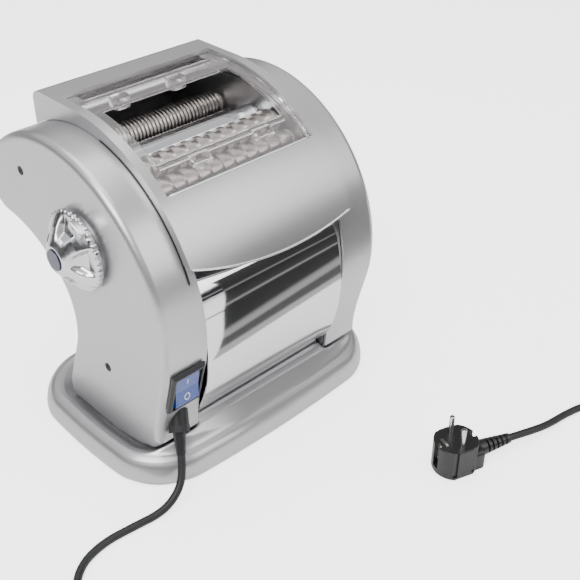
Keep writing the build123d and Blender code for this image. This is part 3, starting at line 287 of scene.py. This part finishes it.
# ---- base: soft ridge round the edge, a valley at the covers, a slope up to the chute
baseSettings = {
    "halfX": 143.0, "frontY": -118.8, "backY": 79.2, "corner": 50.0, "bow": 7.0, "around": 288,
}


def baseRing(inset):
    # rounded rectangle walked at even angles, then swelled towards the middle of each side
    halfX = baseSettings["halfX"] - inset
    halfY = (baseSettings["backY"] - baseSettings["frontY"]) / 2 - inset
    midY = (baseSettings["backY"] + baseSettings["frontY"]) / 2
    r = max(baseSettings["corner"] - inset * 0.75, 3.0)
    lengths = np.array([halfX - r, r * np.pi / 2, halfY - r]) * np.array([2, 1, 2])
    total = 2 * lengths[0] + 4 * lengths[1] + 2 * lengths[2]
    s = np.linspace(0, total, baseSettings["around"], endpoint=False)
    x, y = np.zeros_like(s), np.zeros_like(s)
    at = 0.0
    corners = [(1, -1), (1, 1), (-1, 1), (-1, -1)]
    for k, (sx, sy) in enumerate(corners):
        straight = lengths[0] if k % 2 == 0 else lengths[2]
        turn = np.radians(-90 + 90 * k)
        along = np.array([-np.sin(turn), np.cos(turn)])
        centre = np.array([sx * (halfX - r), sy * (halfY - r)])
        begin = centre + r * np.array([np.cos(turn), np.sin(turn)]) - along * straight
        on = (s >= at) & (s < at + straight)
        x[on] = begin[0] + along[0] * (s[on] - at)
        y[on] = begin[1] + along[1] * (s[on] - at)
        at += straight
        bend = (s >= at) & (s < at + lengths[1])
        angle = turn + (s[bend] - at) / r
        x[bend] = centre[0] + r * np.cos(angle)
        y[bend] = centre[1] + r * np.sin(angle)
        at += lengths[1]
    bow = baseSettings["bow"]
    swellX = x * (1 + bow / halfX * (1 - np.minimum((y / halfY) ** 2, 1)))
    swellY = y * (1 + bow / halfY * (1 - np.minimum((x / halfX) ** 2, 1)))
    return swellX, swellY + midY


def baseHeight(inset, x, y):
    # the larger, softly joined, of the edge ridge and the slope under the chute and the covers
    ridge = np.interp(inset, [0, 1.2, 3, 5.5, 8.5, 12, 16, 20, 25, 30, 60],
                      [9.0, 16.0, 20.6, 24.0, 26.0, 26.8, 25.6, 22.4, 17.6, 14.8, 13.6])
    yKeys = [-126, -120, -113, -107, -103, -98, -92, -84, -74, -56, -40, 20, 90]
    coverBerm = np.interp(y, yKeys, [8, 18, 27, 35, 38.4, 33, 27.8, 23.5, 20.6, 17.6, 15.6, 13.6, 13])
    chuteBerm = np.interp(y, yKeys, [8, 18, 28, 35, 39.5, 42, 43.4, 43.4, 43, 20, 15, 13.6, 13])
    between = np.clip((82.0 - np.abs(x)) / 3.0, 0, 1)
    berm = coverBerm * (1 - between) + chuteBerm * between
    berm = np.minimum(berm, 7.0 + 1.75 * inset)
    soft = 1.6
    return soft * np.log(np.exp(ridge / soft) + np.exp(berm / soft)) - 0.35


def makeBase():
    insets = np.concatenate([np.linspace(0, 14, 22), np.linspace(14.8, 40, 32), np.linspace(42, 72, 12)])
    rings = []
    for inset, height in ((6.0, 2.2), (2.4, 2.1), (0.7, 2.6), (0.0, 4.2)):
        x, y = baseRing(inset)
        rings.append(np.stack([x, y, np.full_like(x, height)], 1))
    for inset in insets:
        x, y = baseRing(inset)
        rings.append(np.stack([x, y, baseHeight(inset, x, y)], 1))
    points = np.array(rings) / 1000
    return gridMesh("baseShell", points[:, ::-1], "silverPaint", closedV=True)


base = makeBase()
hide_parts("base_shell")
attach(base, "housing")
print("base made", len(base.data.polygons))


# ---- bright rolled lips along the top cover's curved lower edge and the window's front edge
coverSettings = {
    "drumY": 15.0, "drumZ": 149.0, "smile": [[-89.0, 213.0], [8.0, 194.0], [89.0, 201.0]],
    "smileHalf": 87.6, "smileRadius": 146.6, "smileLip": 0.0011,
    "windowAngle": 41.5, "windowHalf": 78.6, "windowRadius": 146.2, "windowLip": 0.0012,
    "gapX": -87.9, "gapRadius": 138.6, "gapWidth": 0.0009,
}


def smileLine(count):
    x = np.linspace(-coverSettings["smileHalf"], coverSettings["smileHalf"], count)
    # circle through the cover's two lower corners and its lowest point
    ends = np.array(coverSettings["smile"])
    matrix = np.hstack([2 * ends, np.ones((3, 1))])
    cx, cz, c = np.linalg.solve(matrix, (ends ** 2).sum(1))
    r = math.sqrt(c + cx ** 2 + cz ** 2)
    z = cz - np.sqrt(r ** 2 - (x - cx) ** 2)
    radius = coverSettings["smileRadius"]
    y = coverSettings["drumY"] - np.sqrt(radius ** 2 - (z - coverSettings["drumZ"]) ** 2)
    return np.stack([x, y, z], 1) / 1000


def onDrum(radius, angle):
    # (y, z) on a circle about the drum's middle, in millimetres
    return (coverSettings["drumY"] + radius * np.cos(angle),
            coverSettings["drumZ"] + radius * np.sin(angle))


smileLip = sweepTube("smileLip", smileLine(80), coverSettings["smileLip"], "brightEdge")
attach(smileLip, "housing")

edgeY, edgeZ = onDrum(coverSettings["windowRadius"], np.radians(90 + coverSettings["windowAngle"]))
edgeX = np.linspace(-coverSettings["windowHalf"], coverSettings["windowHalf"], 40)
windowLine = np.stack([edgeX, np.full(40, edgeY), np.full(40, edgeZ)], 1) / 1000
windowLip = sweepTube("windowLip", windowLine, coverSettings["windowLip"], "brightEdge")
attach(windowLip, "housing")

# black tube painted in as the shadow in the gap beside the top cover's left flange
gapAngle = np.radians(np.linspace(100, 160, 60))
gapY, gapZ = onDrum(coverSettings["gapRadius"], gapAngle)
gapLine = np.stack([np.full(60, coverSettings["gapX"]), gapY, gapZ], 1) / 1000
flangeGapShadow = sweepTube("flangeGapShadow", gapLine, coverSettings["gapWidth"], "blackPlasticAndGapShadow")
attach(flangeGapShadow, "housing")
print("lips made")


# ---- thickness knob: skirt, domed hub with five hollows between ribs, notched rim, ribbed tab
knobSettings = {
    "y": -20.0, "z": 204.0, "skirt": -126.5, "face": -150.0, "radius": 36.0, "hollows": 5, "notches": 40,
    "tabAngle": 118.0,
}


def placeOnKnob(radius, angle, height):
    # radius and angle about the knob's axis, height outwards from the skirt's back
    x = knobSettings["skirt"] - height
    y = knobSettings["y"] + radius * np.cos(angle)
    z = knobSettings["z"] + radius * np.sin(angle)
    return np.stack([x, y, z], -1) / 1000


def knobSurface():
    angle = np.linspace(0, 2 * np.pi, 400, endpoint=False)[:, None]
    full = knobSettings["skirt"] - knobSettings["face"]
    r = np.concatenate([[20.0, 34.5, 35.6, 36.0, 36.0, 36.0, 35.4, 34.2], np.linspace(33.4, 12.6, 60),
                        [12.0, 11.2, 10.0, 9.2, 9.05, 9.05]])[None, :]
    low = [0.0, 0.0, 0.3, 1.0, 2.4, 3.9, 4.6, 5.2]
    dome = np.interp(np.linspace(33.4, 12.6, 60), [12.6, 16, 20, 25, 29, 32, 33.4],
                     [full - 1.6, full - 4.0, full - 6.6, full - 9.6, full - 12.8, full - 15.8, full - 17.4])
    h = np.concatenate([low, dome, [full - 1.0, full - 0.9, full - 0.95, full - 1.2, full - 2.4, full - 3.4]])
    h = np.repeat(h[None, :], 400, 0)
    r = np.repeat(r, 400, 0)
    hollow = np.interp(r, [9, 14.5, 16.5, 20, 26, 33.4, 36], [99, 99, full - 7.5, 9.5, 6.6, 5.4, 5.2])
    turn = 2 * np.pi / knobSettings["hollows"]
    offset = (angle - np.radians(30) + turn / 2) % turn - turn / 2
    width = np.interp(r, [15, 20, 27, 33.4], [2.0, 6.0, 10.0, 13.0])
    mask = 1 / (1 + np.exp(-(width - np.abs(offset) * r) / 0.55))
    h = np.where(r < 33.5, h * (1 - mask) + np.minimum(h, hollow) * mask, h)
    notch = (np.sin(angle * knobSettings["notches"]) > 0.25) & (r > 35.3) & (h < 4.8) & (h > 0.2)
    r = np.where(notch, r - 1.0, r)
    points = placeOnKnob(r, np.repeat(angle, r.shape[1], 1), h)
    return gridMesh("knobBody", points, "knobChrome", closedU=True)


def knobTab():
    # rounded block with fine ribs across it
    a = np.linspace(0, 2 * np.pi, 64, endpoint=False)[:, None]
    b = np.linspace(-np.pi / 2, np.pi / 2, 33)[None, :]
    power = 0.28

    def flat(v):
        return np.sign(v) * np.abs(v) ** power

    across = 8.2 * flat(np.cos(b)) * flat(np.cos(a))
    outward = 4.0 * flat(np.cos(b)) * flat(np.sin(a))
    height = 6.2 + 4.2 * flat(np.sin(b)) + 0 * a
    height = height + 0.35 * np.cos(across * 2.6) * (height > 9)
    centre = np.radians(knobSettings["tabAngle"])
    radius = 31.2 + outward
    points = placeOnKnob(radius, centre + across / 32.0, height)
    return gridMesh("knobTab", points, "knobChrome", closedU=True)


knob = knobSurface()
tab = knobTab()
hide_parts("thickness_knob")
for piece in (knob, tab):
    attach(piece, "knob")
print("knob made")


# ---- the I and O on the rocker
switchSettings = {"middle": (-101.0, -115.9, 103.0), "tilt": 15.0, "lean": -8.0, "pivotDepth": 2.0,
                  "line": 0.45, "raised": 0.12, "markAt": 8.5}


def onRocker(points):
    # points on the rocker's own face, leaned with it and set into the switch's plane
    lean = math.radians(switchSettings["lean"])
    y = points[..., 1]
    z = points[..., 2] + switchSettings["pivotDepth"]
    leanedY = y * math.cos(lean) - z * math.sin(lean)
    leanedZ = y * math.sin(lean) + z * math.cos(lean) - switchSettings["pivotDepth"]
    tip = math.radians(switchSettings["tilt"])
    middle = switchSettings["middle"]
    placed = np.empty_like(points)
    placed[..., 0] = middle[0] + points[..., 0]
    placed[..., 1] = middle[1] - leanedY * math.sin(tip) - leanedZ * math.cos(tip)
    placed[..., 2] = middle[2] + leanedY * math.cos(tip) - leanedZ * math.sin(tip)
    return placed / 1000


def rockerFace(y, s):
    # height of the rocker's two wings at y, with the mark standing a little proud of it
    return 3.0 + 1.5 * np.abs(y) / 16.3 + switchSettings["raised"] * np.sin(s)


def markO():
    t = np.linspace(0, 2 * np.pi, 48, endpoint=False)[:, None]
    s = np.linspace(0, 2 * np.pi, 8, endpoint=False)[None, :]
    line = switchSettings["line"]
    x = (2.6 + line * np.cos(s)) * np.cos(t)
    y = -switchSettings["markAt"] + (3.2 + line * np.cos(s)) * np.sin(t)
    points = onRocker(np.stack([x, y, rockerFace(y, s)], -1))
    return gridMesh("markO", points, "whiteMark", closedU=True, closedV=True)


def markI():
    t = np.linspace(-3.2, 3.2, 12)[:, None]
    s = np.linspace(0, 2 * np.pi, 8, endpoint=False)[None, :]
    width = np.where(np.abs(t) > 3.1, 0.05, switchSettings["line"])
    x = width * np.cos(s)
    y = switchSettings["markAt"] + t + 0 * s
    points = onRocker(np.stack([x, y, rockerFace(y, s)], -1))
    return gridMesh("markI", points, "whiteMark", closedV=True)


for mark in (markO(), markI()):
    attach(mark, "rocker")
print("marks made")


# ---- floor, lights and surroundings
stageSettings = {"floor": 8.0, "floorColor": (0.93, 0.93, 0.93), "world": 1.0, "floorGlow": 0.25,
                 "floorSeen": 2.4}
floorGrid = np.array([[[-1, -1, 0], [-1, 1, 0]], [[1, -1, 0], [1, 1, 0]]], float) * stageSettings["floor"]
looks["floor"] = dict(color=stageSettings["floorColor"], rough=(0.5, 0.55), depth=0.0, vary=0.0)
materials["floor"] = surfaceMaterial("floor", looks["floor"])
floorShader = materials["floor"].node_tree.nodes["Principled BSDF"]
floorShader.inputs["Emission Color"].default_value = (1, 1, 1, 1)
floorTree = materials["floor"].node_tree
floorRay = floorTree.nodes.new("ShaderNodeLightPath")
floorGlow = floorTree.nodes.new("ShaderNodeMapRange")
floorGlow.inputs["To Min"].default_value = stageSettings["floorGlow"]
floorGlow.inputs["To Max"].default_value = stageSettings["floorSeen"]
floorTree.links.new(floorRay.outputs["Is Camera Ray"], floorGlow.inputs["Value"])
floorTree.links.new(floorGlow.outputs["Result"], floorShader.inputs["Emission Strength"])
floor = gridMesh("floor", floorGrid, "floor")


def addStops(rampNode, stops, blue=1.0):
    for position, value in stops:
        element = rampNode.color_ramp.elements.new(position)
        element.color = (value, value, value * blue, 1)


# a striped dark flag that only mirrors see, low in front of the chute
flagSettings = {"x": (0.0, 0.36), "y": -0.205, "top": 0.235}
x0, x1 = flagSettings["x"]
flagGrid = np.array([[[x0, flagSettings["y"], 0.012], [x0, flagSettings["y"], flagSettings["top"]]],
                     [[x1, flagSettings["y"] - 0.06, 0.03],
                      [x1, flagSettings["y"] - 0.06, flagSettings["top"]]]])
looks["flag"] = dict(color=(0.02, 0.02, 0.02), rough=(0.8, 0.9), depth=0.0, specular=0.0)
materials["flag"] = surfaceMaterial("flag", looks["flag"])
flagTree = materials["flag"].node_tree
flagShader = flagTree.nodes["Principled BSDF"]
flagCoord = flagTree.nodes.new("ShaderNodeTexCoord")
flagSplit = flagTree.nodes.new("ShaderNodeSeparateXYZ")
flagScale = flagTree.nodes.new("ShaderNodeMapRange")
flagScale.inputs["From Max"].default_value = flagSettings["top"]
flagRamp = flagTree.nodes.new("ShaderNodeValToRGB")
flagRamp.color_ramp.elements[0].color = (0.55, 0.55, 0.56, 1)
flagRamp.color_ramp.elements[1].color = (0.03, 0.03, 0.03, 1)
addStops(flagRamp, [(0.16, 0.6), (0.19, 0.12), (0.27, 0.10), (0.29, 0.5), (0.33, 0.42), (0.36, 0.04),
                    (0.52, 0.03), (0.54, 0.4), (0.57, 0.05), (0.72, 0.02), (0.74, 0.3), (0.77, 0.03)])
flagTree.links.new(flagCoord.outputs["Object"], flagSplit.inputs[0])
flagTree.links.new(flagSplit.outputs["Z"], flagScale.inputs["Value"])
flagTree.links.new(flagScale.outputs["Result"], flagRamp.inputs["Fac"])
flagTree.links.new(flagRamp.outputs["Color"], flagShader.inputs["Emission Color"])
flagShader.inputs["Emission Strength"].default_value = 1.0
flag = gridMesh("flag", flagGrid, "flag")
flag.visible_camera = flag.visible_shadow = flag.visible_diffuse = flag.visible_transmission = False

lightSettings = [
    ("keyLight", (-1.3, -0.5, 1.9), 1.2, 34.0),
    ("fillLight", (0.9, -1.6, 1.3), 1.3, 14.0),
    ("topLight", (0.1, 0.3, 2.1), 1.5, 22.0),
]
for name, place, size, power in lightSettings:
    data = bpy.data.lights.new(name, "AREA")
    data.shape = "SQUARE"
    data.size = size
    data.energy = power
    light = bpy.data.objects.new(name, data)
    light.location = place
    aim = np.array([0.0, 0.0, 0.12]) - np.array(place)
    tip = math.acos(-aim[2] / np.linalg.norm(aim))
    light.rotation_euler = (tip, 0, math.atan2(aim[1], aim[0]) - math.pi / 2)
    bpy.context.scene.collection.objects.link(light)

world = bpy.data.worlds.new("studio")
bpy.context.scene.world = world
world.use_nodes = True
tree = world.node_tree
tree.nodes.clear()
worldOut = tree.nodes.new("ShaderNodeOutputWorld")
seen = tree.nodes.new("ShaderNodeBackground")
seen.inputs["Color"].default_value = (1.0, 1.0, 1.0, 1)
seen.inputs["Strength"].default_value = 1.0
lit = tree.nodes.new("ShaderNodeBackground")
lit.inputs["Strength"].default_value = stageSettings["world"]
mix = tree.nodes.new("ShaderNodeMixShader")
path = tree.nodes.new("ShaderNodeLightPath")
coord = tree.nodes.new("ShaderNodeTexCoord")
split = tree.nodes.new("ShaderNodeSeparateXYZ")
ramp = tree.nodes.new("ShaderNodeValToRGB")
ramp.color_ramp.elements[0].position = 0.40
ramp.color_ramp.elements[0].color = (0.5, 0.5, 0.5, 1)
ramp.color_ramp.elements[1].position = 0.76
ramp.color_ramp.elements[1].color = (0.80, 0.81, 0.83, 1)
addStops(ramp, [(0.495, 0.03), (0.525, 0.04), (0.535, 0.5), (0.548, 0.05), (0.60, 0.03),
                (0.612, 0.45), (0.625, 0.06), (0.66, 0.08), (0.69, 0.6)], blue=1.02)
half = tree.nodes.new("ShaderNodeMapRange")
half.inputs["From Min"].default_value = -1.0
link = tree.links.new
link(coord.outputs["Generated"], split.inputs[0])
link(split.outputs["Z"], half.inputs["Value"])
link(half.outputs["Result"], ramp.inputs["Fac"])
link(ramp.outputs["Color"], lit.inputs["Color"])
link(path.outputs["Is Camera Ray"], mix.inputs["Fac"])
link(lit.outputs[0], mix.inputs[1])
link(seen.outputs[0], mix.inputs[2])
link(mix.outputs[0], worldOut.inputs["Surface"])
print("stage made")
